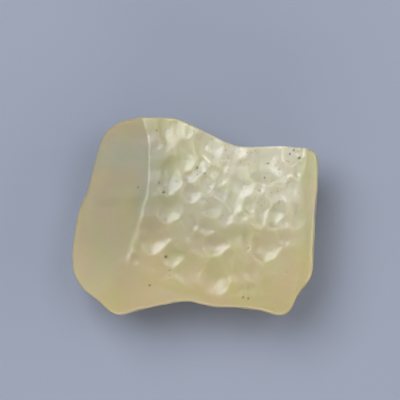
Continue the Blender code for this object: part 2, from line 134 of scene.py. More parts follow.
class Plan:
    """A fine square grid over the stone, seen from above, and how values on it are read."""

    # How far short of the last row and the last column a reading stops, in steps
    SHORT_OF_END = 0.001

    def __init__(self, reach_x: float, reach_y: float, step: float) -> None:
        """Lays the grid out, this far each way from the middle, with its points a step apart."""
        self.reach = (reach_x, reach_y)
        self.step = step
        along_x = np.arange(-reach_x, reach_x + step, step)
        along_y = np.arange(-reach_y, reach_y + step, step)
        self.x, self.y = np.meshgrid(along_x, along_y)

    def window(self, x: float, y: float, reach: float) -> tuple[slice, slice]:
        """The rows and the columns of the grid that lie within reach of a point."""
        low_x = max(int((x - reach + self.reach[0]) / self.step), 0)
        low_y = max(int((y - reach + self.reach[1]) / self.step), 0)
        size = int(2 * reach / self.step) + 2
        return slice(low_y, low_y + size), slice(low_x, low_x + size)

    def read(self, values: Array, x: Array, y: Array) -> Array:
        """Values at any points, evenly blended from the grid's own.

        Args:
            values: One value for each point of the grid.
            x: The points' places along X.
            y: Their places along Y.

        Returns:
            One value for each point.
        """
        last_row, last_column = (count - 1 - self.SHORT_OF_END for count in values.shape)
        across = np.clip((x + self.reach[0]) / self.step, 0, last_column)
        up = np.clip((y + self.reach[1]) / self.step, 0, last_row)
        column, row = across.astype(int), up.astype(int)
        share_x, share_y = across - column, up - row
        near = blend(share_x, values[row, column], values[row, column + 1])
        far = blend(share_x, values[row + 1, column], values[row + 1, column + 1])
        return blend(share_y, near, far)


@dataclass(frozen=True)
class Hollow:
    """A hollow worn into the upper face.

    It has a middle, half widths, a depth, the rounding of its rim, its steep left side's width as
    a share of the right side's, and a turn in degrees.
    """

    x: float
    y: float
    half_x: float
    half_y: float
    depth: float
    rim: float
    short: float = 0.8
    turn: float = 0.0

    def reach(self) -> float:
        """How far from its middle the hollow can still be felt."""
        return max(self.half_x, self.half_y) * math.sqrt(1 + self.rim / self.depth) + BEND_MARGIN

    def press(self, x: Array, y: Array) -> Array:
        """How deep the hollow is at each point of the bent plan, negative past its rim."""
        cos, sin = math.cos(math.radians(self.turn)), math.sin(math.radians(self.turn))
        along = (x - self.x) * cos + (y - self.y) * sin
        u = along / np.where(along < 0.0, self.half_x * self.short, self.half_x)
        v = ((y - self.y) * cos - (x - self.x) * sin) / self.half_y
        return self.depth * (1.0 - u * u - v * v)


# Middle, half widths, depth and rim, and where they aren't usual, the left side's share and the turn
BOWLS = tuple(
    Hollow(*row)
    for row in (
        # Along the back edge, left to right
        (-4.9, 16.2, 4.3, 4.7, 0.45, 0.15, 0.35), (-1.5, 14.7, 1.0, 1.4, 0.18, 0.05),
        (1.1, 14.0, 0.5, 0.7, 0.22, 0.05, 1.0), (2.2, 13.3, 0.5, 0.7, 0.22, 0.05, 1.0),
        (2.0, 12.3, 3.1, 3.1, 0.6, 0.12, 0.75), (6.3, 12.1, 2.9, 2.6, 0.48, 0.12, 0.7),
        (11.5, 9.3, 4.3, 4.1, 1.2, 0.18, 0.65), (16.5, 10.9, 2.4, 2.2, 0.55, 0.12),
        (16.5, 10.9, 0.6, 0.6, 0.16, 0.05, 1.0), (18.2, 11.1, 0.8, 1.6, 0.52, 0.08, 0.7, -15),
        (18.1, 8.8, 0.9, 1.9, 0.25, 0.1),
        # Behind the middle
        (-2.0, 10.0, 2.2, 3.5, 0.42, 0.12, 0.7), (-1.3, 7.1, 1.9, 1.4, 0.25, 0.1),
        (0.6, 9.0, 1.7, 2.4, 0.45, 0.1, 0.4, -25), (5.1, 8.6, 0.7, 0.7, 0.1, 0.05, 1.0),
        (2.9, 7.6, 2.4, 1.0, 0.22, 0.1), (2.0, 6.0, 1.4, 1.9, 0.32, 0.1),
        (4.2, 6.4, 1.2, 1.9, 0.32, 0.1), (-1.0, 4.0, 1.7, 1.6, 0.32, 0.1, 0.7),
        (1.3, 2.9, 0.5, 0.5, 0.1, 0.05, 1.0), (-4.4, 7.1, 2.2, 3.5, 0.5, 0.12, 0.8, -14),
        (-5.4, 5.0, 0.4, 0.9, 0.12, 0.05, 1.0), (7.9, 6.9, 2.1, 3.1, 0.3, 0.1, 0.6),
        (7.2, 6.4, 0.8, 0.9, 0.2, 0.08, 1.0), (7.3, 5.2, 2.8, 2.2, 0.55, 0.1, 0.7),
        (4.9, 3.8, 2.4, 1.7, 0.28, 0.12), (17.4, 7.6, 1.0, 1.4, 0.33, 0.1),
        (11.1, 5.0, 0.9, 1.2, 0.26, 0.1), (14.4, 5.4, 1.0, 1.0, 0.26, 0.1),
        (14.4, 3.8, 2.6, 1.7, 0.35, 0.1, 0.8, 10), (16.2, 4.8, 1.4, 2.1, 0.36, 0.1),
        (14.8, 7.6, 2.2, 2.1, 0.38, 0.1, 1.0),
        # Across the middle
        (-5.1, 1.2, 3.1, 2.4, 0.44, 0.12, 0.5, 10), (3.0, 1.4, 2.1, 1.9, 0.32, 0.12),
        (5.1, 0.5, 1.6, 2.1, 0.28, 0.1), (6.5, 2.8, 1.9, 3.1, 0.5, 0.1, 0.7),
        (7.0, 0.3, 0.7, 1.4, 0.18, 0.05, 1.0), (7.5, -0.2, 1.4, 1.0, 0.26, 0.1),
        (9.4, 1.7, 1.4, 1.6, 0.44, 0.1, 1.0), (11.5, 1.0, 1.6, 2.6, 0.4, 0.1),
        (13.7, 0.5, 1.9, 2.8, 0.8, 0.12, 0.6, -20), (14.8, -0.9, 1.6, 1.6, 0.33, 0.12),
        (17.5, 0.2, 1.6, 2.2, 0.36, 0.12), (-0.4, -1.2, 1.0, 1.6, 0.22, 0.1),
        (-0.8, -2.8, 0.7, 2.1, 0.15, 0.05, 1.0), (1.6, -2.1, 1.9, 1.6, 0.32, 0.1, 0.7, 25),
        # Before the middle
        (-7.5, -3.5, 3.1, 3.3, 0.55, 0.12, 0.7, 15), (7.7, -3.5, 4.8, 1.7, 0.17, 0.08, 1.0),
        (0.6, -4.7, 2.4, 2.4, 0.24, 0.15), (3.2, -4.8, 2.6, 2.1, 0.5, 0.1),
        (8.7, -4.1, 1.2, 2.2, 0.5, 0.1), (11.5, -5.2, 3.3, 2.8, 0.65, 0.1, 0.7, 10),
        (15.1, -3.5, 1.7, 1.7, 0.24, 0.14, 0.8, 20), (-4.1, -6.9, 2.9, 2.2, 0.52, 0.12, 0.6),
        # Along the front bevel, left to right
        (-10.6, -7.4, 0.9, 1.0, 0.14, 0.05, 1.0), (-12.9, -9.0, 0.8, 1.0, 0.12, 0.05, 1.0),
        (-5.8, -9.3, 2.8, 1.9, 0.26, 0.14), (-2.7, -9.7, 1.9, 1.6, 0.22, 0.14),
        (-1.5, -9.5, 3.1, 3.1, 0.42, 0.12), (3.2, -10.7, 2.8, 3.5, 0.72, 0.14),
        (5.6, -8.6, 1.6, 2.8, 0.34, 0.1), (7.3, -9.3, 1.6, 2.1, 0.28, 0.12),
        (9.4, -9.7, 1.6, 1.7, 0.24, 0.12), (8.0, -12.8, 0.9, 1.2, 0.18, 0.05, 1.0),
        (9.6, -12.8, 0.9, 1.2, 0.18, 0.05, 1.0), (12.2, -12.6, 2.4, 2.4, 0.18, 0.08, 1.0),
    )
)


@dataclass(frozen=True)
class GritHole:
    """A tiny hole with dark grit in it: its middle, its radius, and its depth as a share of that."""

    x: float
    y: float
    radius: float
    depth: float = 0.4
    rim: float = 0.02

    def hollow(self) -> Hollow:
        """The hole as a hollow of the upper face."""
        return Hollow(self.x, self.y, self.radius, self.radius, self.depth * self.radius, self.rim, 1.0)


GRIT_HOLES = tuple(
    GritHole(*hole)
    for hole in (
        (-5.1, -7.0, 0.26), (-5.5, 4.1, 0.22), (-6.3, 5.7, 0.16), (-7.9, -11.9, 0.20),
        (17.9, 10.0, 0.22), (11.9, 6.6, 0.16), (9.1, -5.5, 0.16), (-6.7, 14.7, 0.16),
        (0.3, 8.3, 0.18), (1.6, 7.3, 0.18), (12.5, 9.1, 0.18), (16.3, 10.7, 0.18),
        (17.0, 11.4, 0.18), (8.2, -14.0, 0.18), (9.1, -14.2, 0.20), (0.3, 7.1, 0.14),
        (-9.9, 5.0, 0.15), (-4.4, -9.3, 0.13), (-4.4, -10.2, 0.13),
    )
)


@dataclass
class Outline:
    """The stone's outline seen from above, as a smooth closed curve through a few points."""

    points: tuple[Span, ...] = (
        (-15.75, 14.6), (-13.8, 16.1), (-11.4, 16.95), (-8.2, 17.1), (-5.8, 17.0), (-3.9, 16.9),
        (-2.3, 16.45), (-0.4, 15.6), (1.3, 14.75), (3.7, 13.55), (5.6, 12.65), (7.6, 12.05),
        (10.5, 11.95), (13.7, 12.1), (15.7, 12.05), (17.4, 11.85), (19.1, 11.8), (20.8, 11.1),
        (21.45, 9.6), (21.5, 7.1), (21.2, 3.0), (20.85, -3.3), (20.55, -9.3), (20.2, -10.6),
        (19.5, -11.8), (18.3, -13.4), (17.5, -14.6), (16.6, -16.3), (15.5, -17.2), (13.9, -17.35),
        (11.5, -16.7), (7.7, -16.15), (3.0, -15.95), (0.8, -15.4), (-1.2, -15.0), (-4.9, -15.4),
        (-10.5, -16.8), (-12.9, -17.35), (-14.6, -16.9), (-17.5, -14.5), (-19.5, -12.9),
        (-20.8, -11.1), (-21.5, -8.5), (-21.5, -5.9), (-21.15, -3.0), (-20.6, 0.3), (-19.85, 2.4),
        (-19.0, 4.1), (-18.3, 6.9), (-17.1, 11.4),
    )
    steps: int = 4

    def curve(self) -> Array:
        """The outline's points, as centripetal Catmull-Rom arcs of a few steps each."""
        knots = np.array(self.points)
        count = len(knots)
        curve = []
        for i in range(count):
            before, start, end, after = (knots[(i + k) % count] for k in (-1, 0, 1, 2))
            t1 = np.linalg.norm(start - before) ** 0.5
            t2 = t1 + np.linalg.norm(end - start) ** 0.5
            t3 = t2 + np.linalg.norm(after - end) ** 0.5
            for t in np.linspace(t1, t2, self.steps, endpoint=False):
                a1 = before + (start - before) * t / t1
                a2 = start + (end - start) * (t - t1) / (t2 - t1)
                a3 = end + (after - end) * (t - t2) / (t3 - t2)
                b1 = a1 + (a2 - a1) * t / t2
                b2 = a2 + (a3 - a2) * (t - t1) / (t3 - t1)
                curve.append(b1 + (b2 - b1) * (t - t1) / (t2 - t1))
        return np.array(curve)

    def distance(self, x: Array, y: Array, ring: Array) -> Array:
        """How far each point lies outside the outline, negative inside it.

        Args:
            x: The points' places along X.
            y: Their places along Y.
            ring: The outline's points, from curve().

        Returns:
            One distance for each point.
        """
        nearest = np.full(x.shape, np.inf)
        inside = np.zeros(x.shape, dtype=bool)
        for (ax, ay), (bx, by) in zip(ring, np.roll(ring, -1, axis=0)):
            dx, dy = bx - ax, by - ay
            along = np.clip(((x - ax) * dx + (y - ay) * dy) / (dx * dx + dy * dy), 0.0, 1.0)
            nearest = np.minimum(nearest, np.hypot(x - ax - along * dx, y - ay - along * dy))
            if dy:
                inside ^= ((ay > y) != (by > y)) & (x < ax + (y - ay) * dx / dy)
        return np.where(inside, -nearest, nearest)


def swell(x: Array, y: Array) -> Array:
    """A gentle rise and fall of at most SWELL_MOST, a few millimetres from crest to crest."""
    long_waves = np.sin(0.62 * x + 0.35 * y + 0.5) * np.sin(0.50 * y - 0.28 * x + 1.2)
    short_waves = np.sin(1.3 * x - 0.9 * y) * np.sin(1.1 * y + 0.7 * x + 2.0)
    return long_waves + 0.5 * short_waves


def grain(x: Array, y: Array) -> Array:
    """A fine uneven grain, between 1 and -1, about two thirds of a millimetre from crest to crest."""
    bent_x = x + 0.25 * np.sin(3.1 * y + 1.7 * np.sin(1.3 * x))
    bent_y = y + 0.25 * np.sin(2.7 * x + 1.1 * np.sin(1.9 * y))
    return np.sin(8.7 * bent_x + 3.1 * bent_y) * np.sin(7.9 * bent_y - 3.7 * bent_x)


@dataclass(frozen=True)
class Scatter:
    """Small hollows strewn at random: how many, where, where they lie thickest, and their sizes."""

    seed: int
    count: int
    span_x: Span
    span_y: Span
    thick_x: Span
    thick_y: Span
    least: float
    radius: Span
    stretch: Span
    depth: float
    rim: float

    def thickness(self, x: float, y: float) -> float:
        """How thickly they lie at a place, from the least share up to 1."""
        return blend(smooth_step(*self.thick_y, y) * smooth_step(*self.thick_x, x), self.least, 1.0)


@dataclass
class UpperFace:
    """The upper surface: the scoured crown, the smooth left face, and the front and right bevels."""

    top: float = 15.5
    crown_middle: Span = (2.0, 1.0)
    crown_fall: Span = (0.0022, 0.0028)
    lean: Span = (-0.045, 0.012)
    swell_height: float = 0.06
    grain_height: float = 0.018
    ridge: tuple[Span, ...] = (
        (-17.5, -16.0), (-12.0, -13.8), (-9.7, -13.0), (-8.0, -12.4), (-6.2, -11.7),
        (-4.7, -11.2), (-2.8, -10.55), (-0.7, -9.95), (1.4, -9.3), (3.5, -8.5), (5.4, -8.2),
        (8.0, -8.05), (11.4, -8.05), (13.5, -8.2), (15.4, -8.7), (16.8, -9.1), (17.5, -9.3),
    )
    left_slope: float = 0.70
    left_hollow: float = 0.010
    ridge_rounding: Span = (1.05, 0.15)
    ridge_sharpens: Span = (-4.0, 6.0)
    front_line: tuple[Span, ...] = (
        (-22.0, -10.5), (-16.0, -12.0), (-13.0, -12.2), (-10.0, -11.4), (-6.5, -10.8),
        (-4.8, -11.3), (-2.7, -12.0), (0.0, -12.6), (2.5, -13.5), (4.5, -14.2), (8.0, -14.4),
        (12.0, -15.0), (15.5, -15.6), (22.0, -16.8),
    )
    front_slope: float = 0.42
    front_rounding: Span = (2.2, 0.6)
    front_sharpens: Span = (-14.0, -7.0)
    right_line: float = 18.9
    right_slope: float = 0.55
    right_rounding: float = 0.8
    scoured_edge: Span = (-0.2, 0.8)
    dimpled: Scatter = Scatter(
        seed=5, count=200, span_x=(-7.0, 19.5), span_y=(-14.0, 16.0), thick_x=(-6.0, 4.0),
        thick_y=(-3.0, 5.0), least=0.25, radius=(0.30, 0.95), stretch=(0.8, 1.35), depth=0.075, rim=0.03,
    )
    pricked: Scatter = Scatter(
        seed=8, count=260, span_x=(-7.0, 19.8), span_y=(-14.5, 16.5), thick_x=(-7.0, 3.0),
        thick_y=(-4.0, 5.0), least=0.2, radius=(0.14, 0.27), stretch=(0.9, 1.3), depth=0.22, rim=0.015,
    )
    least_swarm: float = 0.25

    def bent(self, x: Array, y: Array) -> tuple[Array, Array]:
        """The plan with a slight bend in it, so that no hollow is a true ellipse."""
        bent_x = x + 0.13 * np.sin(1.15 * y + 0.6 * x + 0.7) + 0.07 * np.sin(2.3 * y - 1.1 * x + 2.1)
        bent_y = y + 0.13 * np.sin(1.05 * x - 0.5 * y + 1.9) + 0.07 * np.sin(2.1 * x + 1.3 * y + 0.4)
        return bent_x, bent_y

    def crown(self, x: Array, y: Array) -> Array:
        """The height of the upper face before any hollow: a leaning crown."""
        from_x, from_y = x - self.crown_middle[0], y - self.crown_middle[1]
        fall = self.crown_fall[0] * from_x**2 + self.crown_fall[1] * from_y**2
        return self.top + self.lean[0] * from_x + self.lean[1] * from_y - fall

    def pressed(self, plan: Plan, hollows: list[Hollow]) -> Array:
        """How deep the hollows are over the plan. Where two meet, the deeper one wins."""
        x, y = self.bent(plan.x, plan.y)
        depth = np.zeros(x.shape)
        for hollow in hollows:
            part = plan.window(hollow.x, hollow.y, hollow.reach())
            depth[part] = smooth_max(depth[part], hollow.press(x[part], y[part]), hollow.rim)
        return depth

    def dimples(self) -> list[Hollow]:
        """Small shallow dimples over the scoured face, thicker towards the upper right."""
        strewn, chance = self.dimpled, random.Random(self.dimpled.seed)
        found: list[Hollow] = []
        while len(found) < strewn.count:
            x, y = chance.uniform(*strewn.span_x), chance.uniform(*strewn.span_y)
            radius = chance.uniform(*strewn.radius)
            if chance.random() > strewn.thickness(x, y):
                continue
            long_radius, turn = radius * chance.uniform(*strewn.stretch), chance.uniform(0.0, 180.0)
            found.append(Hollow(x, y, radius, long_radius, strewn.depth * radius, strewn.rim, 1.0, turn))
        return found

    def pricks(self) -> list[Hollow]:
        """Tiny sharp pits, in loose swarms, mostly where the face is scoured most."""
        strewn, chance = self.pricked, random.Random(self.pricked.seed)
        found: list[Hollow] = []
        while len(found) < strewn.count:
            x, y = chance.uniform(*strewn.span_x), chance.uniform(*strewn.span_y)
            swarm = 0.5 + 0.5 * math.sin(1.9 * x + 0.8 * y) * math.sin(1.4 * y - 0.9 * x + 1.0)
            if chance.random() > strewn.thickness(x, y) * blend(swarm, self.least_swarm, 1.0):
                continue
            radius = chance.uniform(*strewn.radius)
            long_radius = radius * chance.uniform(*strewn.stretch)
            found.append(Hollow(x, y, radius, long_radius, strewn.depth * radius, strewn.rim, 1.0))
        return found

    def heights(self, plan: Plan) -> dict[str, Array]:
        """The upper surface over the plan.

        Args:
            plan: The grid that the values are wanted on.

        Returns:
            The height, and from 0 to 1 how scoured each place is.
        """
        x, y = plan.x, plan.y
        waves = self.swell_height * swell(x, y)
        bowls = self.pressed(plan, list(BOWLS))
        dimples = self.pressed(plan, self.dimples())
        scoured = self.crown(x, y) + waves - bowls - dimples
        left, front, right = self.left(x, y, waves), self.front(x, y, waves), self.right(x, y)
        ridge_rounding = blend(smooth_step(*self.ridge_sharpens, y), *self.ridge_rounding)
        front_rounding = blend(smooth_step(*self.front_sharpens, x), *self.front_rounding)
        height = smooth_min(scoured, left, ridge_rounding)
        height = smooth_min(height, front, front_rounding)
        height = smooth_min(height, right, self.right_rounding)
        edges = np.minimum(np.minimum(left, front), right)
        share = smooth_step(*self.scoured_edge, edges - scoured)
        fine = self.grain_height * grain(x, y) - self.pressed(plan, self.pricks())
        grit = self.pressed(plan, [hole.hollow() for hole in GRIT_HOLES])
        return {"height": height + fine * share - grit, "scoured": share}

    def left(self, x: Array, y: Array, waves: Array) -> Array:
        """The height of the smooth, slightly hollow face that falls away to the left of the ridge."""
        ridge = smooth_line(self.ridge, y)
        run = ridge - x
        hollow = self.left_hollow * np.maximum(run, 0.0) ** 2
        return self.crown(ridge, y) - self.left_slope * run + hollow + waves / 2

    def front(self, x: Array, y: Array, waves: Array) -> Array:
        """The height of the front bevel."""
        line = smooth_line(self.front_line, x)
        return self.crown(x, line) - self.front_slope * (line - y) + waves / 2

    def right(self, x: Array, y: Array) -> Array:
        """The height of the right bevel."""
        return self.crown(np.full_like(x, self.right_line), y) - self.right_slope * (x - self.right_line)


@dataclass(frozen=True)
class Scar:
    """A broad shell-shaped break: a point near it, the way it faces, and the size of its ball."""

    point: Place
    facing: Place
    radius: float
    depth: float


SCARS = (
    Scar((-9.5, -14.6, 4.6), (-0.25, -0.80, -0.55), 15.0, 1.4),
    Scar((3.5, -13.6, 3.6), (0.05, -0.70, -0.70), 11.0, 1.0),
    Scar((13.0, -14.2, 4.4), (0.35, -0.75, -0.55), 12.0, 1.2),
    Scar((19.4, -3.5, 4.4), (0.80, -0.10, -0.60), 16.0, 1.3),
    Scar((18.6, 7.6, 5.0), (0.75, 0.45, -0.50), 10.0, 1.0),
    Scar((10.0, 11.0, 6.6), (0.05, 0.93, -0.36), 12.0, 1.1),
    Scar((1.0, 13.0, 6.0), (0.35, 0.86, -0.36), 10.0, 0.9),
    Scar((-8.0, 15.8, 5.6), (-0.15, 0.90, -0.40), 13.0, 1.2),
    Scar((-16.4, 9.0, 4.2), (-0.75, 0.40, -0.52), 12.0, 1.1),
    Scar((-19.6, -4.5, 3.8), (-0.76, -0.05, -0.65), 15.0, 1.3),
    Scar((-13.0, 3.0, 1.0), (-0.25, 0.05, -0.96), 18.0, 0.9),
    Scar((12.5, 2.5, 0.8), (0.22, 0.08, -0.97), 20.0, 0.9),
    Scar((2.0, -10.5, 1.1), (0.03, -0.32, -0.95), 15.0, 0.8),
    Scar((-9.0, -8.5, 1.3), (-0.20, -0.28, -0.94), 12.0, 0.7),
    Scar((5.0, 9.0, 1.0), (0.06, 0.28, -0.96), 13.0, 0.7),
)


@dataclass(frozen=True)
class Ball:
    """A hollow in the sides or the underside, as the ball that would press it, and its rim rounding."""

    middle: Array
    radius: float
    rim: float

    @classmethod
    def pressed(cls, point: Place, facing: Place, radius: float, depth: float, rim: float) -> "Ball":
        """The ball that leaves a hollow of a depth at a point of a surface that faces this way."""
        outward = np.array(facing) / np.linalg.norm(facing)
        return cls(np.array(point) + outward * (radius - depth), radius, rim)


@dataclass
class StoneForm:
    """The whole stone as a distance: positive outside it, negative inside and zero on its skin."""

    outline: Outline = field(default_factory=Outline)
    face: UpperFace = field(default_factory=UpperFace)
    plan_reach: Span = (23.0, 19.0)
    fine_step: float = 0.05
    coarse_step: float = 0.2
    belt_height: float = 7.0
    belt_climb: float = 6.5
    belt_reach: float = 8.5
    back_edge_y: Span = (4.0, 11.0)
    back_edge_left: Span = (-12.0, -7.0)
    back_edge_right: Span = (17.5, 20.5)
    side_lean_up: float = 0.15
    side_lean_down: float = 5.0
    side_swell: float = 0.5
    side_rounding: Span = (0.4, 0.3)
    dome_reach: Span = (130.0, 75.0)
    flat_depth: float = 0.55
    under_rounding: float = 3.0
    scar_rounding: float = 0.5
    dent_seed: int = 11
    dents_under: int = 60
    under_dent_reach: Span = (20.0, 16.0)
    under_dent_radius: Span = (4.0, 9.0)
    under_dent_depth: Span = (0.12, 0.35)
    dents_round: int = 40
    round_dent_radius: Span = (2.5, 6.0)
    round_dent_depth: Span = (0.10, 0.30)
    round_dent_height: Span = (2.5, 6.0)
    round_dent_lean: float = -0.6
    dent_rounding: float = 0.12
    flat_margin: float = 1.5
    edge_margin: float = 1.5
    space_bend: float = 0.16
    probe: float = 0.03
    least_steepness: float = 0.25
    ball_reach: float = 1.2

    def __post_init__(self) -> None:
        """Works out the parts of the form that don't change from point to point."""
        self.fine = Plan(*self.plan_reach, self.fine_step)
        self.coarse = Plan(*self.plan_reach, self.coarse_step)
        self.upper = self.face.heights(self.fine)
        self.ring = self.outline.curve()
        self.edge = self.outline.distance(self.coarse.x, self.coarse.y, self.ring)
        chance = random.Random(self.dent_seed)
        self.balls = [
            Ball.pressed(scar.point, scar.facing, scar.radius, scar.depth, self.scar_rounding)
            for scar in SCARS
        ]
        self.balls += self.under_dents(chance)
        self.balls += self.round_dents(chance)

    def under_dents(self, chance: random.Random) -> list[Ball]:
        """Small dents on the underside, clear of the flat spot."""
        dents: list[Ball] = []
        while len(dents) < self.dents_under:
            x, y = (chance.uniform(-reach, reach) for reach in self.under_dent_reach)
            rise = x * x / self.dome_reach[0] + y * y / self.dome_reach[1]
            past_edge = self.outline.distance(np.array([x]), np.array([y]), self.ring)[0]
            if rise < self.flat_depth * self.flat_margin or past_edge > -self.edge_margin:
                continue
            facing = (2 * x / self.dome_reach[0], 2 * y / self.dome_reach[1], -1.0)
            radius = chance.uniform(*self.under_dent_radius)
            depth = chance.uniform(*self.under_dent_depth)
            point = (x, y, rise - self.flat_depth)
            dents.append(Ball.pressed(point, facing, radius, depth, self.dent_rounding))
        return dents

    def round_dents(self, chance: random.Random) -> list[Ball]:
        """Small dents round the lower sides."""
        ahead = np.roll(self.ring, -1, axis=0) - np.roll(self.ring, 1, axis=0)
        dents = []
        for _ in range(self.dents_round):
            i = chance.randrange(len(self.ring))
            height = chance.uniform(*self.round_dent_height)
            lean = self.side_lean_down * ((self.belt_height - height) / self.belt_height) ** 2
            outward = np.array([-ahead[i][1], ahead[i][0]]) / np.linalg.norm(ahead[i])
            x, y = self.ring[i] - outward * lean
            radius = chance.uniform(*self.round_dent_radius)
            depth = chance.uniform(*self.round_dent_depth)
            facing = (outward[0], outward[1], self.round_dent_lean)
            dents.append(Ball.pressed((x, y, height), facing, radius, depth, self.dent_rounding))
        return dents

    def bent(self, points: Array) -> Array:
        """The points with a slight bend in their space, so that no scar or dent has a round rim."""
        x, y, z = points.T
        bend_x = np.sin(0.71 * y + 1.13 * z + 0.3) + 0.4 * np.sin(1.9 * z - 1.3 * y)
        bend_y = np.sin(0.83 * z + 0.97 * x + 1.6) + 0.4 * np.sin(2.1 * x + 1.1 * z)
        bend_z = np.sin(0.77 * x - 0.89 * y + 2.2) + 0.4 * np.sin(1.7 * y + 1.5 * x)
        return points + self.space_bend * np.stack((bend_x, bend_y, bend_z), axis=1)

    def near_balls(self, points: Array) -> list[tuple[Ball, Array]]:
        """Each ball that can press some of the points, with their places in the list."""
        bent = self.bent(points)
        found = []
        for ball in self.balls:
            away = np.linalg.norm(bent - ball.middle, axis=1)
            close = np.flatnonzero(away < ball.radius + self.ball_reach)
            if len(close):
                found.append((ball, close))
        return found

    def distance(self, points: Array, near: list[tuple[Ball, Array]]) -> Array:
        """How far each point lies outside the stone, negative inside it.

        Args:
            points: The points, one row each.
            near: What near_balls() found for them.

        Returns:
            One distance for each point.
        """
        x, y, z = points.T
        share = smooth_step(*self.back_edge_y, y) * smooth_step(*self.back_edge_left, x)
        share = share * (1.0 - smooth_step(*self.back_edge_right, x))
        belt = self.belt_height + self.belt_climb * share
        above = np.maximum(z - belt, 0.0) / self.belt_reach
        below = np.maximum(belt - z, 0.0) / belt
        waves = (SWELL_MOST + swell(x + z, y - z)) / (2 * SWELL_MOST) * (above + below)
        side = self.coarse.read(self.edge, x, y) + self.side_swell * waves
        side = side + self.side_lean_up * above**2 + self.side_lean_down * below**2
        rounding = blend(share, *self.side_rounding)
        body = smooth_max(side, z - self.fine.read(self.upper["height"], x, y), rounding)
        under = x * x / self.dome_reach[0] + y * y / self.dome_reach[1] - self.flat_depth
        body = smooth_max(body, np.maximum(under, 0.0) - z, self.under_rounding)
        bent = self.bent(points)
        for ball, close in near:
            inward = ball.radius - np.linalg.norm(bent[close] - ball.middle, axis=1)
            body[close] = smooth_max(body[close], inward, ball.rim)
        return np.maximum(body, -z)

    def worn(self, points: Array, rounds: int) -> Array:
        """Moves points along the steepest way until they lie on the stone's skin.

        Args:
            points: Points near the skin, one row each.
            rounds: How many times they are moved.

        Returns:
            The moved points.
        """
        points = points.copy()
        near = self.near_balls(points)
        for _ in range(rounds):
            slope = np.empty_like(points)
            for axis in range(3):
                shift = np.zeros(3)
                shift[axis] = self.probe
                ahead = self.distance(points + shift, near)
                behind = self.distance(points - shift, near)
                slope[:, axis] = (ahead - behind) / (2 * self.probe)
            steepness = np.maximum((slope**2).sum(axis=1), self.least_steepness)
            points -= slope * (self.distance(points, near) / steepness)[:, None]
        return points


class ShaderNodes:
    """A short way to add nodes to a material or a node group and to link them."""

    GROUP = "clouds_and_grain"
    # For each noise of the group: its scale's name, its own name, its detail and its roughness
    NOISES = (
        ("Cloud Scale", "Clouds", 3.0, 0.5),
        ("Tint Scale", "Tints", 2.0, 0.5),
        ("Grain Scale", "Grain", 4.0, 0.65),
    )

    def __init__(self, tree: bpy.types.NodeTree) -> None:
        """Takes the tree that the nodes go into."""
        self.tree = tree

    def add(self, kind: str, inputs: dict | None = None, **settings: object) -> bpy.types.Node:
        """Adds a node.

        Args:
            kind: Blender's name for the kind of node.
            inputs: A value or another node's socket for each input, by name or place.
            **settings: Values for the node's own settings.

        Returns:
            The new node.
        """
        node = self.tree.nodes.new(kind)
        for name, value in settings.items():
            setattr(node, name, value)
        for key, value in (inputs or {}).items():
            if isinstance(value, Socket):
                self.tree.links.new(value, node.inputs[key])
            else:
                node.inputs[key].default_value = value
        return node

    def maths(self, operation: str, first: object, second: object = 0.0) -> Socket:
        """The result of one operation on two values or sockets."""
        return self.add("ShaderNodeMath", {0: first, 1: second}, operation=operation).outputs[0]

    def span(self, value: object, span: Span, to: Span = (0.0, 1.0)) -> Socket:
        """A value taken from one span to another, softly at both ends."""
        names = ("From Min", "From Max", "To Min", "To Max")
        inputs = {"Value": value, **dict(zip(names, (*span, *to)))}
        return self.add("ShaderNodeMapRange", inputs, interpolation_type="SMOOTHSTEP").outputs["Result"]

    def blend(self, share: object, first: object, second: object, mode: str = "MIX") -> Socket:
        """Two colours mixed by a share, each given as its value or a socket."""
        inputs = {0: share, 6: first, 7: second}
        return self.add("ShaderNodeMix", inputs, data_type="RGBA", blend_type=mode).outputs[2]

    def mask(self, mask: Mask) -> Socket:
        """A mask that the mesh carries at its points."""
        return self.add("ShaderNodeAttribute", attribute_name=mask.value).outputs["Fac"]

    def clouds(self, place: Socket, scales: tuple[float, ...]) -> bpy.types.Node:
        """The node group of clouds, tints and fine grain, with as many of its scales as are needed."""
        inputs = {"Vector": place, **{noise[0]: scale for noise, scale in zip(self.NOISES, scales)}}
        return self.add("ShaderNodeGroup", inputs, node_tree=self.group())

    @classmethod
    def group(cls) -> bpy.types.NodeTree:
        """That node group's own tree, built the first time it is asked for."""
        if cls.GROUP in bpy.data.node_groups:
            return bpy.data.node_groups[cls.GROUP]
        tree = bpy.data.node_groups.new(cls.GROUP, "ShaderNodeTree")
        tree.interface.new_socket("Vector", in_out="INPUT", socket_type="NodeSocketVector")
        for scale, result, _, _ in cls.NOISES:
            tree.interface.new_socket(scale, in_out="INPUT", socket_type="NodeSocketFloat")
            tree.interface.new_socket(result, in_out="OUTPUT", socket_type="NodeSocketFloat")
        nodes = cls(tree)
        given = nodes.add("NodeGroupInput").outputs
        results = {}
        for scale, result, detail, rough in cls.NOISES:
            inputs = {"Vector": given["Vector"], "Scale": given[scale], "Detail": detail}
            noise = nodes.add("ShaderNodeTexNoise", {**inputs, "Roughness": rough})
            results[result] = noise.outputs["Fac"]
        nodes.add("NodeGroupOutput", results)
        return tree


def new_material(name: str) -> tuple[bpy.types.Material, ShaderNodes, Socket]:
    """A new material, the means to add its nodes, and the place on the object that it is seen at."""
    made = bpy.data.materials.new(name)
    made.use_nodes = True
    made.node_tree.nodes.clear()
    nodes = ShaderNodes(made.node_tree)
    return made, nodes, nodes.add("ShaderNodeTexCoord").outputs["Object"]


def new_object(name: str, data: bpy.types.ID) -> bpy.types.Object:
    """A new object in the scene."""
    made = bpy.data.objects.new(name, data)
    bpy.context.scene.collection.objects.link(made)
    return made


